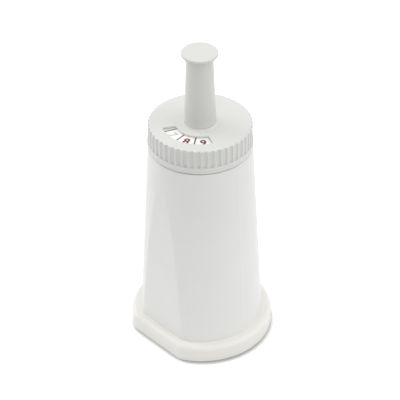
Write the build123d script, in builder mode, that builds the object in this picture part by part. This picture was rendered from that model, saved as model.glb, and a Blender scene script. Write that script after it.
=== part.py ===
"""Water filter cartridge for a coffee machine's tank.

A tapered housing with one flattened side stands on a D-shaped foot. Water enters through slots in the
foot, rises through the granulate and leaves through the centre tube and the outlet socket. A fluted dial
with an arc window turns on top over a plate of month numbers, and a stem lifts the cartridge out.

The origin is the centre of the outlet's mouth, on the plane that the foot stands on. +Z is up, and the
flat side faces -Y.
"""

import os

from build123d import *

# Foot
FOOT_HEIGHT = 6.53
FOOT_OVERHANG = 3.57  # foot beyond the round side of the housing
FOOT_FLAT_OVERHANG = 3.15  # foot beyond the flat side of the housing
FOOT_CORNER = 5.0
FOOT_EDGE_ROUND = 1.7
FOOT_RIM_CHAMFER = 0.2
FOOT_WALL = 2.0
FOOT_PLATE = 2.4
RING_HEIGHT = 6.0  # ring that enters the housing
RING_WALL = 1.6
RING_CLEARANCE = 0.1

# Inlet slots
SLOT_COUNT = 16
SLOT_WIDTH = 1.4
SLOT_MARGIN = 1.3  # plate left beyond a slot's ends

# Outlet socket and seal
OUTLET_RADIUS = 5.4
OUTLET_DEPTH = 12.0
OUTLET_STEP = 2.0
SOCKET_WALL = 1.6
SEAL_CORD_RADIUS = 1.0
SEAL_PROUD = 0.1  # seal inside the outlet's wall
SEAL_CLEARANCE = 0.1
SEAL_SIDE_CLEARANCE = 0.3
SEAL_INSET = 3.0  # mouth to groove

# Housing
BODY_HEIGHT = 73.72
BODY_LOW_RADIUS = 22.68
BODY_TOP_RADIUS = 18.95
BODY_WALL = 1.5
FLAT_CUT = 2.76  # taken off the round side at the foot
FLAT_RUNOUT = 10.7  # shoulder down to where the flat runs out
FLAT_BLEND = 3.0
SHOULDER_ROUND = 0.4
DECK_THICKNESS = 1.5
RIB_COUNT = 8
RIB_THICKNESS = 1.2
RIB_MARGIN = 2.8  # boss to rib

# Dial cap
CAP_HEIGHT = 9.3
CAP_GAP = 0.4  # shoulder to dial
CAP_LIP_PROUD = 0.1  # lip beyond the top of the housing
CAP_LIP_HEIGHT = 2.1
CAP_LIP_STEP = 0.34
CAP_LIP_CHAMFER = 0.18
CAP_TOP_CHAMFER = 0.3
CAP_WALL = 1.1
CAP_TOP_WALL = 0.7
CAP_NECK_CLEARANCE = 0.35
HUB_WALL = 1.4
HUB_CLEARANCE = 0.08
COLLAR_HEIGHT = 0.75  # collar round the stem, on top of the dial
COLLAR_PROUD = 0.15  # collar beyond the stem
COLLAR_SLOPE = 0.45
AXIAL_PLAY = 0.12
FLUTE_COUNT = 48
FLUTE_RADIUS = 0.8
FLUTE_DEPTH = 0.55
FLUTE_LIFT = 0.15  # lip to flute

# Dial window, with its place in degrees from the flat side
FLAT_DIRECTION = -90.0
WINDOW_CENTRE = 18.9
WINDOW_SPAN = 94.5
WINDOW_CORNER = 0.5
WINDOW_HUB_MARGIN = 2.87
WINDOW_RIM_MARGIN = 3.2

# Month disc and its keys
DISC_THICKNESS = 1.0
DISC_GAP = 0.15  # disc to dial
DISC_EDGE = 0.4  # deck left round the disc
DISC_HUB_GAP = 0.6
KEY_COUNT = 3
KEY_START = 90.0
KEY_WIDTH = 2.0
KEY_LENGTH = 1.2
KEY_CLEARANCE = 0.1

# Lifting stem and its snap bead
STEM_HEIGHT = 28.68
STEM_LOW_RADIUS = 5.7
STEM_TOP_RADIUS = 4.8
STEM_WALL = 1.8
STEM_LEDGE = 1.1  # stem beyond its spigot
FLANGE_RADIUS = 6.6
FLANGE_THICKNESS = 1.2
FLANGE_ROUND = 0.45
FLANGE_CHAMFER = 0.3
FLANGE_FILLET = 0.9
SPIGOT_DEPTH = 8.0
SPIGOT_CLEARANCE = 0.05
SPIGOT_END_GAP = 0.3
BEAD_HEIGHT = 0.3
BEAD_LENGTH = 1.2
BEAD_INSET = 1.0
BOSS_WALL = 1.6
BOSS_FLOOR = 1.3

# Filter bed, screens and tube
TUBE_RADIUS = 4.5
TUBE_WALL = 1.2
TUBE_SEAT = 4.0
TUBE_CLEARANCE = 0.05
TUBE_TOP_GAP = 1.6  # tube to the boss above it
TUBE_LIP = 0.8  # tube above the upper screen
SCREEN_THICKNESS = 1.5
BED_CLEARANCE = 0.2

# Heights of the foot and the outlet
seal_width = 2 * (SEAL_CORD_RADIUS + SEAL_SIDE_CLEARANCE)
seal_z = SEAL_INSET + seal_width / 2
tube_z = OUTLET_DEPTH + OUTLET_STEP
socket_top_z = tube_z + TUBE_SEAT
ring_top_z = FOOT_HEIGHT + RING_HEIGHT

# Heights of the dial and the stem, up from the housing's shoulder
shoulder_z = FOOT_HEIGHT + BODY_HEIGHT
cap_low_z = shoulder_z + CAP_GAP
lip_top_z = cap_low_z + CAP_LIP_HEIGHT
cap_top_z = cap_low_z + CAP_HEIGHT
collar_top_z = cap_top_z + COLLAR_HEIGHT
stem_z = collar_top_z + AXIAL_PLAY
stem_top_z = stem_z + STEM_HEIGHT
flange_z = stem_top_z - FLANGE_THICKNESS

# Heights under the dial, down from its top
cap_under_z = cap_top_z - CAP_TOP_WALL
deck_z = cap_under_z - DISC_GAP - DISC_THICKNESS
deck_under_z = deck_z - DECK_THICKNESS
spigot_z = deck_z - SPIGOT_DEPTH
boss_bore_z = spigot_z - SPIGOT_END_GAP
boss_z = boss_bore_z - BOSS_FLOOR
tube_top_z = boss_z - TUBE_TOP_GAP
bed_cover_z = tube_top_z - TUBE_LIP
bed_top_z = bed_cover_z - SCREEN_THICKNESS
bed_low_z = FOOT_HEIGHT + SCREEN_THICKNESS

# Radii of the dial and of the neck and disc inside it
lip_radius = BODY_TOP_RADIUS + CAP_LIP_PROUD
crest_radius = lip_radius - CAP_LIP_STEP
cap_inner_radius = crest_radius - FLUTE_DEPTH - CAP_WALL
neck_radius = cap_inner_radius - CAP_NECK_CLEARANCE
neck_inner_radius = neck_radius - BODY_WALL
disc_radius = neck_radius - DISC_EDGE
key_radius = neck_radius - DISC_EDGE / 2

# Radii round the stem's spigot
spigot_radius = STEM_LOW_RADIUS - STEM_LEDGE
hub_bore = spigot_radius + HUB_CLEARANCE
hub_radius = hub_bore + HUB_WALL
collar_radius = STEM_LOW_RADIUS + COLLAR_PROUD
boss_bore = spigot_radius + SPIGOT_CLEARANCE
boss_radius = boss_bore + BEAD_HEIGHT + BOSS_WALL
rib_inner = boss_radius + RIB_MARGIN
rib_outer = neck_radius - BODY_WALL / 2
window_inner = hub_radius + WINDOW_HUB_MARGIN
window_outer = cap_inner_radius - WINDOW_RIM_MARGIN
window_start = FLAT_DIRECTION + WINDOW_CENTRE - WINDOW_SPAN / 2

# Radii round the outlet, and insets from the housing's outside
tube_bore = TUBE_RADIUS - TUBE_WALL
seal_radius = OUTLET_RADIUS - SEAL_PROUD + SEAL_CORD_RADIUS
groove_radius = seal_radius + SEAL_CORD_RADIUS + SEAL_CLEARANCE
socket_radius = max(groove_radius, TUBE_RADIUS + TUBE_CLEARANCE) + SOCKET_WALL
ring_inset = BODY_WALL + RING_CLEARANCE
ring_bore_inset = ring_inset + RING_WALL
slot_inner = socket_radius + SLOT_MARGIN
slot_outer = BODY_LOW_RADIUS - FLAT_CUT - ring_bore_inset - SLOT_MARGIN


def body_radius(z):
    """Radius of the housing's round side at a height."""
    return BODY_LOW_RADIUS + (BODY_TOP_RADIUS - BODY_LOW_RADIUS) * (z - FOOT_HEIGHT) / BODY_HEIGHT


def flat_plane(inset):
    """Plane of the housing's flat side, moved into the housing."""
    foot_point = Vector(0, FLAT_CUT - BODY_LOW_RADIUS, FOOT_HEIGHT)
    runout_z = shoulder_z - FLAT_RUNOUT
    up_flat = Vector(0, -body_radius(runout_z), runout_z) - foot_point
    outward = Vector(1, 0, 0).cross(up_flat).normalized()
    return Plane(origin=foot_point - outward * inset, x_dir=(1, 0, 0), z_dir=outward)


def body_slice(inset, low_z, high_z):
    """Tapered solid with the flat side, set in from the housing's outside, between two heights."""
    with BuildPart() as piece:
        with BuildSketch(Plane.XZ):
            with BuildLine():
                Polyline(
                    (0, low_z),
                    (body_radius(low_z) - inset, low_z),
                    (body_radius(high_z) - inset, high_z),
                    (0, high_z),
                    close=True,
                )
            make_face()
        revolve(axis=Axis.Z)
        split(bisect_by=flat_plane(inset), keep=Keep.BOTTOM)
    return piece.part


def foot_face(inset):
    """D-shaped face in the outline of the foot, set in from its edge."""
    radius = BODY_LOW_RADIUS + FOOT_OVERHANG - inset
    flat = BODY_LOW_RADIUS - FLAT_CUT + FOOT_FLAT_OVERHANG - inset
    with BuildSketch() as outline:
        Circle(radius)
        with Locations((0, -flat)):
            Rectangle(2 * radius, radius, align=(Align.CENTER, Align.MAX), mode=Mode.SUBTRACT)
        fillet(outline.vertices(), FOOT_CORNER - inset)
    return outline.sketch


def bead_face(radius):
    """Section of the snap bead, or of its groove, on a wall of the given radius."""
    bead_low_z = spigot_z + BEAD_INSET
    bead_high_z = bead_low_z + BEAD_LENGTH
    with BuildSketch() as section:
        with BuildLine():
            Polyline(
                (0, bead_low_z - BEAD_HEIGHT),
                (radius, bead_low_z - BEAD_HEIGHT),
                (radius + BEAD_HEIGHT, bead_low_z),
                (radius + BEAD_HEIGHT, bead_high_z),
                (radius, bead_high_z + BEAD_HEIGHT),
                (0, bead_high_z + BEAD_HEIGHT),
                close=True,
            )
        make_face()
    return section.sketch


body_core = body_slice(BODY_WALL, FOOT_HEIGHT, shoulder_z - BODY_WALL)
ring_solid = body_slice(ring_inset, FOOT_HEIGHT, ring_top_z)
ring_core = body_slice(ring_bore_inset, FOOT_HEIGHT, ring_top_z)
lower_screen_blank = body_slice(ring_bore_inset + BED_CLEARANCE, FOOT_HEIGHT, bed_low_z)
bed_foot = body_slice(ring_bore_inset + BED_CLEARANCE, bed_low_z, ring_top_z + BED_CLEARANCE)
bed_body = body_slice(BODY_WALL + BED_CLEARANCE, ring_top_z + BED_CLEARANCE, bed_top_z)
upper_screen_blank = body_slice(BODY_WALL + BED_CLEARANCE, bed_top_z, bed_cover_z)
foot_outside = foot_face(0)
foot_hollow = foot_face(FOOT_WALL)
bead_section = bead_face(spigot_radius)
bead_groove = bead_face(boss_bore)

# Housing: tapered body with its flat, neck and deck, and the stem's boss and the ribs inside
with BuildPart() as housing:
    with BuildSketch(Plane.XZ):
        with BuildLine():
            Polyline(
                (0, FOOT_HEIGHT),
                (BODY_LOW_RADIUS, FOOT_HEIGHT),
                (BODY_TOP_RADIUS, shoulder_z),
                (0, shoulder_z),
                close=True,
            )
        make_face()
    revolve(axis=Axis.Z)
    fillet(housing.edges().filter_by(GeomType.CIRCLE).sort_by(Axis.Z)[-1], SHOULDER_ROUND)
    split(bisect_by=flat_plane(0), keep=Keep.BOTTOM)
    flat_side = housing.faces().sort_by(Axis.Y)[0]
    fillet(flat_side.edges().filter_by(GeomType.LINE, reverse=True), FLAT_BLEND)
    with BuildSketch(Plane.XY.offset(shoulder_z)):
        Circle(neck_radius)
    extrude(amount=deck_z - shoulder_z)
    add(body_core, mode=Mode.SUBTRACT)
    with BuildSketch(Plane.XY.offset(shoulder_z - BODY_WALL)):
        Circle(neck_inner_radius)
    extrude(amount=deck_under_z - shoulder_z + BODY_WALL, mode=Mode.SUBTRACT)
    with BuildSketch(Plane.XY.offset(boss_z)):
        Circle(boss_radius)
    extrude(amount=deck_under_z - boss_z)
    with BuildSketch(Plane.XY.offset(bed_cover_z)):
        with PolarLocations((rib_inner + rib_outer) / 2, RIB_COUNT):
            Rectangle(rib_outer - rib_inner, RIB_THICKNESS)
    extrude(amount=deck_under_z - bed_cover_z)
    with Locations(Plane.XY.offset(deck_z)):
        Hole(boss_bore, depth=deck_z - boss_bore_z)
    with BuildSketch(Plane.XZ):
        add(bead_groove)
    revolve(axis=Axis.Z, mode=Mode.SUBTRACT)
    with BuildSketch(Plane.XY.offset(deck_z)):
        with PolarLocations(key_radius - KEY_LENGTH / 2, KEY_COUNT, start_angle=KEY_START):
            Rectangle(KEY_LENGTH, KEY_WIDTH)
    extrude(amount=DISC_THICKNESS)
housing.part.label = "housing"

# Foot: D-shaped skirt and plate, ring for the housing, inlet slots and outlet socket
with BuildPart() as base_foot:
    with BuildSketch():
        add(foot_outside)
    extrude(amount=FOOT_HEIGHT)
    fillet(base_foot.faces().sort_by(Axis.Z)[-1].edges(), FOOT_EDGE_ROUND)
    chamfer(base_foot.faces().sort_by(Axis.Z)[0].edges(), FOOT_RIM_CHAMFER)
    with BuildSketch():
        add(foot_hollow)
    extrude(amount=FOOT_HEIGHT - FOOT_PLATE, mode=Mode.SUBTRACT)
    add(ring_solid)
    add(ring_core, mode=Mode.SUBTRACT)
    with BuildSketch():
        Circle(socket_radius)
    extrude(amount=socket_top_z)
    with Locations(Plane.XY.offset(socket_top_z)):
        CounterBoreHole(tube_bore, TUBE_RADIUS + TUBE_CLEARANCE, TUBE_SEAT, depth=socket_top_z)
    with Locations(-Plane.XY):
        Hole(OUTLET_RADIUS, depth=OUTLET_DEPTH)
    with BuildSketch(Plane.XZ):
        with Locations((groove_radius, seal_z)):
            Rectangle(groove_radius, seal_width, align=(Align.MAX, Align.CENTER))
    revolve(axis=Axis.Z, mode=Mode.SUBTRACT)
    with BuildSketch(Plane.XY.offset(FOOT_HEIGHT - FOOT_PLATE)):
        with PolarLocations((slot_inner + slot_outer) / 2, SLOT_COUNT):
            Rectangle(slot_outer - slot_inner, SLOT_WIDTH)
    extrude(amount=FOOT_PLATE, mode=Mode.SUBTRACT)
base_foot.part.label = "base_foot"

# Outlet seal: O-ring in the socket's groove
with BuildPart() as outlet_seal:
    with BuildSketch(Plane.XZ):
        with Locations((seal_radius, seal_z)):
            Circle(SEAL_CORD_RADIUS)
    revolve(axis=Axis.Z)
outlet_seal.part.label = "outlet_seal"

# Tube: from the top of the bed down to the outlet socket
with BuildPart() as down_tube:
    with BuildSketch(Plane.XY.offset(tube_z)):
        Circle(TUBE_RADIUS)
        Circle(tube_bore, mode=Mode.SUBTRACT)
    extrude(amount=tube_top_z - tube_z)
down_tube.part.label = "down_tube"

# Lower screen: fleece that lies on the inlet slots, round the socket
with BuildPart() as lower_screen:
    add(lower_screen_blank)
    with Locations(Plane.XY.offset(bed_low_z)):
        Hole(socket_radius + BED_CLEARANCE)
lower_screen.part.label = "lower_screen"

# Granulate: fills the housing between the screens, round the socket and the tube
with BuildPart() as granulate_bed:
    add(bed_foot)
    add(bed_body)
    with Locations(Plane.XY.offset(bed_top_z)):
        Hole(TUBE_RADIUS + BED_CLEARANCE)
    with Locations(-Plane.XY.offset(bed_low_z)):
        Hole(socket_radius + BED_CLEARANCE, depth=socket_top_z + BED_CLEARANCE - bed_low_z)
granulate_bed.part.label = "granulate_bed"

# Upper screen: fleece on the granulate, held down by the ribs
with BuildPart() as upper_screen:
    add(upper_screen_blank)
    with Locations(Plane.XY.offset(bed_cover_z)):
        Hole(TUBE_RADIUS + BED_CLEARANCE)
upper_screen.part.label = "upper_screen"

# Month disc: plate for the numbers, keyed to the deck
with BuildPart() as month_disc:
    with BuildSketch(Plane.XY.offset(deck_z)):
        Circle(disc_radius)
        Circle(hub_radius + DISC_HUB_GAP, mode=Mode.SUBTRACT)
        with PolarLocations(key_radius - KEY_LENGTH - KEY_CLEARANCE, KEY_COUNT, start_angle=KEY_START):
            Rectangle(
                2 * KEY_LENGTH,
                KEY_WIDTH + 2 * KEY_CLEARANCE,
                align=(Align.MIN, Align.CENTER),
                mode=Mode.SUBTRACT,
            )
    extrude(amount=DISC_THICKNESS)
month_disc.part.label = "month_disc"

# Dial: cap with a hub and collar, a plain lip, flutes round its side and an arc window in its top
with BuildPart() as dial_cap:
    with BuildSketch(Plane.XZ):
        with BuildLine():
            Polyline(
                (hub_bore, collar_top_z),
                (collar_radius, collar_top_z),
                (collar_radius + COLLAR_SLOPE, cap_top_z),
                (crest_radius, cap_top_z),
                (crest_radius, lip_top_z),
                (lip_radius, lip_top_z),
                (lip_radius, cap_low_z),
                (cap_inner_radius, cap_low_z),
                (cap_inner_radius, cap_under_z),
                (hub_radius, cap_under_z),
                (hub_radius, deck_z + AXIAL_PLAY),
                (hub_bore, deck_z + AXIAL_PLAY),
                close=True,
            )
        make_face()
    revolve(axis=Axis.Z)
    rims = dial_cap.edges().filter_by(GeomType.CIRCLE)
    chamfer(rims.group_by(SortBy.RADIUS)[-1], CAP_LIP_CHAMFER)
    rims = dial_cap.edges().filter_by(GeomType.CIRCLE).filter_by_position(Axis.Z, cap_top_z, cap_top_z)
    chamfer(rims.sort_by(SortBy.RADIUS)[-1], CAP_TOP_CHAMFER)
    with BuildSketch(Plane.XY.offset(lip_top_z + FLUTE_LIFT)):
        with PolarLocations(crest_radius - FLUTE_DEPTH + FLUTE_RADIUS, FLUTE_COUNT):
            Circle(FLUTE_RADIUS)
    extrude(amount=CAP_HEIGHT, mode=Mode.SUBTRACT)
    with BuildSketch(Plane.XY.offset(cap_under_z)) as window:
        with BuildLine():
            far_arc = CenterArc((0, 0), window_outer, window_start, WINDOW_SPAN)
            near_arc = CenterArc((0, 0), window_inner, window_start, WINDOW_SPAN)
            Line(far_arc @ 0, near_arc @ 0)
            Line(far_arc @ 1, near_arc @ 1)
        make_face()
        fillet(window.vertices(), WINDOW_CORNER)
    extrude(amount=CAP_TOP_WALL, mode=Mode.SUBTRACT)
dial_cap.part.label = "dial_cap"

# Stem: tapered and cored out, with a flange on top and a spigot that snaps into the housing's boss
with BuildPart() as handle_stem:
    with BuildSketch(Plane.XZ):
        with BuildLine():
            Polyline(
                (0, spigot_z),
                (spigot_radius, spigot_z),
                (spigot_radius, stem_z),
                (STEM_LOW_RADIUS, stem_z),
                (STEM_TOP_RADIUS, flange_z),
                (FLANGE_RADIUS, flange_z),
                (FLANGE_RADIUS, stem_top_z),
                (0, stem_top_z),
                close=True,
            )
        make_face()
        add(bead_section)
    revolve(axis=Axis.Z)
    rims = handle_stem.edges().filter_by(GeomType.CIRCLE).group_by(SortBy.RADIUS)[-1].sort_by(Axis.Z)
    fillet(rims[-1], FLANGE_ROUND)
    chamfer(rims[0], FLANGE_CHAMFER)
    throat = handle_stem.edges().filter_by(GeomType.CIRCLE).filter_by_position(Axis.Z, flange_z, flange_z)
    fillet(throat.sort_by(SortBy.RADIUS)[0], FLANGE_FILLET)
    with Locations(-Plane.XY.offset(spigot_z)):
        Hole(spigot_radius - STEM_WALL, depth=stem_top_z - STEM_WALL - spigot_z)
handle_stem.part.label = "handle_stem"

os.makedirs("parts", exist_ok=True)
export_step(housing.part, "parts/housing.step")
export_step(base_foot.part, "parts/base_foot.step")
export_step(outlet_seal.part, "parts/outlet_seal.step")
export_step(down_tube.part, "parts/down_tube.step")
export_step(lower_screen.part, "parts/lower_screen.step")
export_step(granulate_bed.part, "parts/granulate_bed.step")
export_step(upper_screen.part, "parts/upper_screen.step")
export_step(month_disc.part, "parts/month_disc.step")
export_step(dial_cap.part, "parts/dial_cap.step")
export_step(handle_stem.part, "parts/handle_stem.step")
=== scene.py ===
"""Looks of a coffee machine's tank water filter: finishes, printed month numbers, studio and camera.

Lengths are metres in the CAD frame: +Z is up, the flat side faces -Y and the axis is x = y = 0.
Angles are degrees. Azimuths go round the axis, from 0 on the flat side towards +X.
"""

import math

import bpy
from mathutils import Matrix, Vector


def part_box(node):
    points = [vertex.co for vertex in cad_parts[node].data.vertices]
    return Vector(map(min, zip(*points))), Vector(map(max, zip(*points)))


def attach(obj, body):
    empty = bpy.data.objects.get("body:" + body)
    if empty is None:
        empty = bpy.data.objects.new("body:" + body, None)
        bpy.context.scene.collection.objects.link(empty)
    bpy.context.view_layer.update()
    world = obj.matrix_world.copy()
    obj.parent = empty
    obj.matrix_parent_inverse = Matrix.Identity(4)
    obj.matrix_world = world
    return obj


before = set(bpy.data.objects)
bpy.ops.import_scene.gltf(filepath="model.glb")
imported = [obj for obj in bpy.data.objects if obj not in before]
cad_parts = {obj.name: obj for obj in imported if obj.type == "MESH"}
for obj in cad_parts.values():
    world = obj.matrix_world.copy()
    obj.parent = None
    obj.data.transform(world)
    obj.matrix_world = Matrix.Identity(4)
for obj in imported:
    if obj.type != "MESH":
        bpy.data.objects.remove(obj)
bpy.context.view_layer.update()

MM = 0.001

# Camera, as fitted to the photograph
CAMERA_AZIMUTH = 47.15
CAMERA_ELEVATION = 36.87
CAMERA_DISTANCE = 772.3 * MM
CAMERA_ROLL = -0.461
CAMERA_LENS = 190.42  # focal length in millimetres
CAMERA_AIM_RIGHT = -0.29 * MM
CAMERA_AIM_HEIGHT = 55.27 * MM
CAMERA_CLIP_START = 10 * MM

# Printed month numbers and the lines between them
MONTHS = 12
MONTH_STEP = 360 / MONTHS
FIRST_SHOWN_MONTH = 7
FIRST_SHOWN_AZIMUTH = -7.8
GREY_MONTHS = (1, 4, 7, 10)
NUMBER_HEIGHT = 3.5 * MM
NUMBER_WIDEST = 4.4 * MM
NUMBER_RADIUS = 11.7 * MM
NUMBER_WEIGHT = 0.03  # of the type size, added to each edge of a stroke
NUMBER_CURVE_STEPS = 5
LINE_WIDTH = 0.5 * MM
LINE_INNER = 8.0 * MM
LINE_OUTER = 13.9 * MM
PRINT_THICKNESS = 0.02 * MM

# Colours, in linear light
HOUSING_WHITE = (0.80, 0.80, 0.785)
FOOT_WHITE = (0.83, 0.82, 0.785)
DIAL_GREY = (0.72, 0.73, 0.705)
STEM_GREY = (0.69, 0.69, 0.665)
DISC_WHITE = (0.97, 0.965, 0.96)
TUBE_WHITE = (0.80, 0.80, 0.79)
SEAL_BLACK = (0.03, 0.03, 0.03)
FLEECE_WHITE = (0.85, 0.85, 0.83)
GRANULATE_BROWN = (0.35, 0.22, 0.10)
PRINT_RED = (0.20, 0.012, 0.02)
PRINT_GREY = (0.62, 0.61, 0.61)
LINE_GREY = (0.12, 0.12, 0.115)

# Noise: its usual detail, and the range in which most of its values lie
NOISE_DETAIL = 2.0
NOISE_MIDDLE = (0.3, 0.7)

# Moulded plastic: flow clouds in the colour, patches in the gloss and an eroded grain
CLOUD_LENGTH = 14 * MM
CLOUD_DETAIL = 3.0
CLOUD_TINT = 0.012
GLOSS_PATCH = 2.5 * MM
PLASTIC_ROUGHNESS = (0.38, 0.46)
EROSION_GRAIN = 0.25 * MM
EROSION_DEPTH = 0.003 * MM

# Clear gloss on the printed plate
PLATE_COAT = 1.0
PLATE_COAT_ROUGHNESS = 0.1

# Pad-printed ink
INK_GRAIN = 0.3 * MM
INK_TINT = 0.12
INK_ROUGHNESS = (0.45, 0.6)

# Rubber: bloom in the colour and the gloss, and a fine grain
BLOOM_LENGTH = 1.5 * MM
BLOOM_DETAIL = 4.0
BLOOM_TINT = 0.3
RUBBER_ROUGHNESS = (0.65, 0.85)
RUBBER_GRAIN = 0.2 * MM
RUBBER_DEPTH = 0.01 * MM

# Fleece
FIBRE_LENGTH = 0.4 * MM
FIBRE_DETAIL = 6.0
FIBRE_TINT = 0.08
FIBRE_DEPTH = 0.08 * MM
FLEECE_ROUGHNESS = 0.9
FLEECE_SHEEN = 0.2

# Granulate
GRANULE_SIZE = 0.8 * MM
GRANULE_TINT = 0.35
GRANULE_DEPTH = 0.4 * MM
GRANULE_ROUGHNESS = 0.5

# Tent: its light as a share of white, and the heights of a direction over which it grows
TENT_LOW = 0.25
TENT_HIGH = 0.94
TENT_RISE = (-0.05, 0.35)
SEEN_WHITE = 1.0

# Softboxes: azimuth from the camera's, elevation, and the level to which they light a white face
BOX_DISTANCE = 1.0
BOX_SIZE = 0.7
SOFTBOXES = {
    "left_box": (-122, 30, 0.27),
    "right_box": (80, 38, 0.21),
}

# Floor: pale paper that glows up to white where it is seen
FLOOR_RADIUS = 320 * MM
FLOOR_SIDES = 96
FLOOR_COLOUR = (0.80, 0.80, 0.80)
FLOOR_ROUGHNESS = 0.8
FLOOR_GLOW = 0.45
PAPER_GRAIN = 3 * MM
PAPER_TINT = 0.01

# Contact shadow: the openness where it starts and is full, and its light's azimuth and elevation
CONTACT_COLOUR = (0.42, 0.42, 0.42)
CONTACT_REACH = 4 * MM
CONTACT_RANGE = (0.75, 0.38)
SHADOW_FROM = (-165, 55)


def new_material(name):
    """A new node material, with its node tree, its shader and its object coordinates."""
    material = bpy.data.materials.new(name)
    material.use_nodes = True
    tree = material.node_tree
    shader = tree.nodes["Principled BSDF"]
    coordinates = tree.nodes.new("ShaderNodeTexCoord").outputs["Object"]
    return material, tree, shader, coordinates


def feed(tree, source, socket):
    """Links another node's output to a socket, or sets a plain value on it."""
    if isinstance(source, bpy.types.NodeSocket):
        tree.links.new(source, socket)
    else:
        socket.default_value = source


def combined(tree, operation, first, second):
    """Result of an operation on two numbers, each a plain value or another node's output."""
    node = tree.nodes.new("ShaderNodeMath")
    node.operation = operation
    feed(tree, first, node.inputs[0])
    feed(tree, second, node.inputs[1])
    return node.outputs["Value"]


def mixed(tree, kind, factor, first, second):
    """Mix of two values of a kind, RGBA or FLOAT: all of the second where the factor is 1."""
    node = tree.nodes.new("ShaderNodeMix")
    node.data_type = kind
    feed(tree, factor, node.inputs["Factor"])
    feed(tree, first, node.inputs["A"])
    feed(tree, second, node.inputs["B"])
    return node.outputs["Result"]


def mapped(tree, value, source, target=(0.0, 1.0)):
    """Value carried from one range to another, and held at the ends."""
    node = tree.nodes.new("ShaderNodeMapRange")
    ends = ("From Min", "From Max", "To Min", "To Max")
    for name, number in zip(ends, (*source, *target)):
        node.inputs[name].default_value = number
    tree.links.new(value, node.inputs["Value"])
    return node.outputs["Result"]


def noise(tree, coordinates, grain, detail=NOISE_DETAIL):
    """Noise from 0 to 1 whose features are about as long as the grain."""
    node = tree.nodes.new("ShaderNodeTexNoise")
    node.inputs["Scale"].default_value = 1 / grain
    node.inputs["Detail"].default_value = detail
    tree.links.new(coordinates, node.inputs["Vector"])
    return node.outputs["Fac"]


def tinted(tree, value, colour, change):
    """Colour that goes from a little darker to a little lighter as the value rises."""
    darker = [part * (1 - change) for part in colour]
    lighter = [part * (1 + change) for part in colour]
    return mixed(tree, "RGBA", mapped(tree, value, NOISE_MIDDLE), (*darker, 1), (*lighter, 1))


def bump(tree, shader, value, depth):
    """Relief of the given depth on the shader."""
    node = tree.nodes.new("ShaderNodeBump")
    node.inputs["Distance"].default_value = depth
    tree.links.new(value, node.inputs["Height"])
    tree.links.new(node.outputs["Normal"], shader.inputs["Normal"])


def moulded_plastic(name, colour):
    """Satin moulding: faint flow clouds in the colour, uneven gloss and a fine eroded grain."""
    material, tree, shader, coordinates = new_material(name)
    clouds = noise(tree, coordinates, CLOUD_LENGTH, CLOUD_DETAIL)
    tree.links.new(tinted(tree, clouds, colour, CLOUD_TINT), shader.inputs["Base Color"])
    patches = noise(tree, coordinates, GLOSS_PATCH)
    gloss = mapped(tree, patches, NOISE_MIDDLE, PLASTIC_ROUGHNESS)
    tree.links.new(gloss, shader.inputs["Roughness"])
    bump(tree, shader, noise(tree, coordinates, EROSION_GRAIN), EROSION_DEPTH)
    return material


def printed_plate(name, colour):
    """White moulding under a clear gloss."""
    material = moulded_plastic(name, colour)
    shader = material.node_tree.nodes["Principled BSDF"]
    shader.inputs["Coat Weight"].default_value = PLATE_COAT
    shader.inputs["Coat Roughness"].default_value = PLATE_COAT_ROUGHNESS
    return material


def printed_ink(name, colour):
    """Pad-printed ink with a slightly uneven cover."""
    material, tree, shader, coordinates = new_material(name)
    cover = noise(tree, coordinates, INK_GRAIN)
    tree.links.new(tinted(tree, cover, colour, INK_TINT), shader.inputs["Base Color"])
    gloss = mapped(tree, cover, NOISE_MIDDLE, INK_ROUGHNESS)
    tree.links.new(gloss, shader.inputs["Roughness"])
    return material


def moulded_rubber(name, colour):
    """Matt rubber with a dusty bloom."""
    material, tree, shader, coordinates = new_material(name)
    bloom = noise(tree, coordinates, BLOOM_LENGTH, BLOOM_DETAIL)
    tree.links.new(tinted(tree, bloom, colour, BLOOM_TINT), shader.inputs["Base Color"])
    gloss = mapped(tree, bloom, NOISE_MIDDLE, RUBBER_ROUGHNESS)
    tree.links.new(gloss, shader.inputs["Roughness"])
    bump(tree, shader, noise(tree, coordinates, RUBBER_GRAIN), RUBBER_DEPTH)
    return material


def felted_fleece(name, colour):
    """Fleece of tangled fine fibres, with soft thick and thin places."""
    material, tree, shader, coordinates = new_material(name)
    fibres = noise(tree, coordinates, FIBRE_LENGTH, FIBRE_DETAIL)
    tree.links.new(tinted(tree, fibres, colour, FIBRE_TINT), shader.inputs["Base Color"])
    shader.inputs["Roughness"].default_value = FLEECE_ROUGHNESS
    shader.inputs["Sheen Weight"].default_value = FLEECE_SHEEN
    bump(tree, shader, fibres, FIBRE_DEPTH)
    return material


def filter_granulate(name, colour):
    """Round resin grains, each with its own shade."""
    material, tree, shader, coordinates = new_material(name)
    grains = tree.nodes.new("ShaderNodeTexVoronoi")
    grains.inputs["Scale"].default_value = 1 / GRANULE_SIZE
    tree.links.new(coordinates, grains.inputs["Vector"])
    shade = tree.nodes.new("ShaderNodeSeparateColor")
    tree.links.new(grains.outputs["Color"], shade.inputs["Color"])
    shades = tinted(tree, shade.outputs["Red"], colour, GRANULE_TINT)
    tree.links.new(shades, shader.inputs["Base Color"])
    shader.inputs["Roughness"].default_value = GRANULE_ROUGHNESS
    round_tops = combined(tree, "SUBTRACT", 1.0, grains.outputs["Distance"])
    bump(tree, shader, round_tops, GRANULE_DEPTH)
    return material


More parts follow.
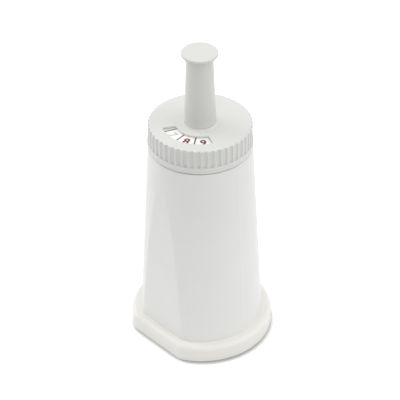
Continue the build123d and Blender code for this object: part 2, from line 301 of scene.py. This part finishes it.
def dress_nodes():
    """Gives every CAD node its finish."""
    fleece = felted_fleece("fleece", FLEECE_WHITE)
    finishes = {
        "housing": moulded_plastic("housing_white", HOUSING_WHITE),
        "base_foot": moulded_plastic("foot_white", FOOT_WHITE),
        "dial_cap": moulded_plastic("dial_grey", DIAL_GREY),
        "handle_stem": moulded_plastic("stem_grey", STEM_GREY),
        "month_disc": printed_plate("disc_white", DISC_WHITE),
        "down_tube": moulded_plastic("tube_white", TUBE_WHITE),
        "outlet_seal": moulded_rubber("seal_rubber", SEAL_BLACK),
        "lower_screen": fleece,
        "upper_screen": fleece,
        "granulate_bed": filter_granulate("granulate", GRANULATE_BROWN),
    }
    for name, material in finishes.items():
        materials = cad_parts[name].data.materials
        materials.clear()
        materials.append(material)


def disc_place(azimuth, radius):
    """Matrix that lays a flat piece on the month disc, its top towards the axis."""
    disc_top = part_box("month_disc")[1].z
    turn = Matrix.Rotation(math.radians(azimuth), 4, "Z")
    return turn @ Matrix.Translation((0, -radius, disc_top))


def type_mesh(text):
    """Closed mesh of a text in the built-in type, its strokes thickened by a bevel."""
    curve = bpy.data.curves.new("number", "FONT")
    curve.body = text
    curve.align_x = "CENTER"
    curve.align_y = "CENTER"
    curve.resolution_u = NUMBER_CURVE_STEPS
    curve.bevel_resolution = 0
    curve.bevel_depth = NUMBER_WEIGHT
    holder = bpy.data.objects.new("number", curve)
    bpy.context.scene.collection.objects.link(holder)
    evaluated = holder.evaluated_get(bpy.context.evaluated_depsgraph_get())
    mesh = bpy.data.meshes.new_from_object(evaluated)
    bpy.data.objects.remove(holder)
    bpy.data.curves.remove(curve)
    return mesh


def number_mesh(month):
    """Flat closed mesh of a month's number, centred and of the printed height."""
    mesh = type_mesh(str(month))
    low = Vector([min(vertex.co[i] for vertex in mesh.vertices) for i in range(3)])
    high = Vector([max(vertex.co[i] for vertex in mesh.vertices) for i in range(3)])
    size = high - low
    tall = NUMBER_HEIGHT / size.y
    wide = min(tall, NUMBER_WIDEST / size.x)
    middle = (low + high) / 2
    centre = Matrix.Translation((-middle.x, -middle.y, -low.z))
    mesh.transform(Matrix.Diagonal((wide, tall, PRINT_THICKNESS / size.z, 1)) @ centre)
    mesh.shade_flat()
    return mesh


def line_mesh():
    """Flat closed bar for a line between two months, from the place's radius outwards."""
    half = LINE_WIDTH / 2
    length = LINE_OUTER - LINE_INNER
    corners = [(-half, 0), (-half, -length), (half, -length), (half, 0)]
    points = [(x, y, z) for z in (0, PRINT_THICKNESS) for x, y in corners]
    count = len(corners)
    below = range(count)
    above = range(count, 2 * count)
    sides = [(i, (i + 1) % count, (i + 1) % count + count, i + count) for i in below]
    mesh = bpy.data.meshes.new("month_line")
    mesh.from_pydata(points, [], [below[::-1], above, *sides])
    return mesh


def print_piece(name, mesh, material, place):
    """Puts a printed mark on the month disc."""
    mesh.materials.append(material)
    mesh.transform(place)
    piece = bpy.data.objects.new(name, mesh)
    bpy.context.scene.collection.objects.link(piece)
    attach(piece, "cartridge")


def print_months():
    """Numbers and lines on the month disc."""
    red = printed_ink("print_red", PRINT_RED)
    grey = printed_ink("print_grey", PRINT_GREY)
    line = printed_ink("print_line", LINE_GREY)
    for month in range(1, MONTHS + 1):
        azimuth = FIRST_SHOWN_AZIMUTH + (month - FIRST_SHOWN_MONTH) * MONTH_STEP
        ink = grey if month in GREY_MONTHS else red
        number_place = disc_place(azimuth, NUMBER_RADIUS)
        print_piece(f"month_number_{month}", number_mesh(month), ink, number_place)
        line_place = disc_place(azimuth + MONTH_STEP / 2, LINE_INNER)
        print_piece(f"month_line_{month}", line_mesh(), line, line_place)


def studio_direction(azimuth, elevation):
    """Direction from the object, at an azimuth from the camera's and an elevation."""
    turn = math.radians(CAMERA_AZIMUTH + azimuth)
    rise = math.radians(elevation)
    reach = math.cos(rise)
    return Vector((math.sin(turn) * reach, -math.cos(turn) * reach, math.sin(rise)))


def add_camera():
    """Camera at the photograph's angle and distance."""
    right = studio_direction(90, 0)
    back = studio_direction(0, CAMERA_ELEVATION)
    up = back.cross(right)
    turn = Matrix((right, up, back)).transposed().to_4x4()
    roll = Matrix.Rotation(math.radians(CAMERA_ROLL), 4, "Z")
    aim = right * CAMERA_AIM_RIGHT + Vector((0, 0, CAMERA_AIM_HEIGHT))
    lens = bpy.data.cameras.new("camera")
    lens.lens = CAMERA_LENS
    lens.clip_start = CAMERA_CLIP_START
    camera = bpy.data.objects.new("camera", lens)
    camera.matrix_world = Matrix.Translation(aim + back * CAMERA_DISTANCE) @ turn @ roll
    bpy.context.scene.collection.objects.link(camera)
    bpy.context.scene.camera = camera


def seen_directly(tree):
    """1 for rays from the camera and for mirrored and refracted ones, 0 for those that light."""
    rays = tree.nodes.new("ShaderNodeLightPath").outputs
    seen = combined(tree, "MAXIMUM", rays["Is Camera Ray"], rays["Is Glossy Ray"])
    return combined(tree, "MAXIMUM", seen, rays["Is Transmission Ray"])


def add_world():
    """White tent: plain white to look at, and a soft light that grows above the horizon."""
    world = bpy.data.worlds.new("tent")
    world.use_nodes = True
    bpy.context.scene.world = world
    tree = world.node_tree
    background = tree.nodes["Background"]
    background.inputs["Color"].default_value = (1, 1, 1, 1)
    coordinates = tree.nodes.new("ShaderNodeTexCoord").outputs["Generated"]
    direction = tree.nodes.new("ShaderNodeSeparateXYZ")
    tree.links.new(coordinates, direction.inputs["Vector"])
    light = mapped(tree, direction.outputs["Z"], TENT_RISE, (TENT_LOW, TENT_HIGH))
    level = mixed(tree, "FLOAT", seen_directly(tree), light, SEEN_WHITE)
    tree.links.new(level, background.inputs["Strength"])


def add_softboxes():
    """Large square lamps that face the object, at the power that gives a white face their level."""
    for name, (azimuth, elevation, level) in SOFTBOXES.items():
        lamp = bpy.data.lights.new(name, "AREA")
        lamp.size = BOX_SIZE
        lamp.energy = level * (math.pi * BOX_DISTANCE) ** 2
        box = bpy.data.objects.new(name, lamp)
        outward = studio_direction(azimuth, elevation)
        box.location = outward * BOX_DISTANCE + Vector((0, 0, CAMERA_AIM_HEIGHT))
        box.rotation_euler = outward.to_track_quat("Z", "Y").to_euler()
        bpy.context.scene.collection.objects.link(box)


def contact_shadow(tree):
    """0 on open floor, and up to 1 where the foot closes off the shadow's light."""
    openness = tree.nodes.new("ShaderNodeAmbientOcclusion")
    openness.inputs["Distance"].default_value = CONTACT_REACH
    light_from = tree.nodes.new("ShaderNodeCombineXYZ")
    for socket, part in zip(light_from.inputs, studio_direction(*SHADOW_FROM)):
        socket.default_value = part
    tree.links.new(light_from.outputs["Vector"], openness.inputs["Normal"])
    return mapped(tree, openness.outputs["AO"], CONTACT_RANGE)


def floor_paper():
    """Matt paper whose glow and contact shadow are only for rays that see it."""
    material, tree, shader, coordinates = new_material("floor")
    shader.inputs["Roughness"].default_value = FLOOR_ROUGHNESS
    shader.inputs["Specular IOR Level"].default_value = 0.0
    shader.inputs["Emission Color"].default_value = (FLOOR_GLOW, FLOOR_GLOW, FLOOR_GLOW, 1)
    seen = seen_directly(tree)
    shadow = combined(tree, "MULTIPLY", contact_shadow(tree), seen)
    paper = tinted(tree, noise(tree, coordinates, PAPER_GRAIN), FLOOR_COLOUR, PAPER_TINT)
    shaded = mixed(tree, "RGBA", shadow, paper, (*CONTACT_COLOUR, 1))
    tree.links.new(shaded, shader.inputs["Base Color"])
    glow = combined(tree, "SUBTRACT", seen, shadow)
    tree.links.new(glow, shader.inputs["Emission Strength"])
    return material


def add_floor():
    """Round pale floor that runs out into the white tent."""
    bpy.ops.mesh.primitive_circle_add(vertices=FLOOR_SIDES, radius=FLOOR_RADIUS, fill_type="NGON")
    floor = bpy.context.object
    floor.name = "floor"
    floor.data.materials.append(floor_paper())


dress_nodes()
print_months()
add_world()
add_softboxes()
add_floor()
add_camera()
bpy.context.scene.view_settings.view_transform = "Standard"
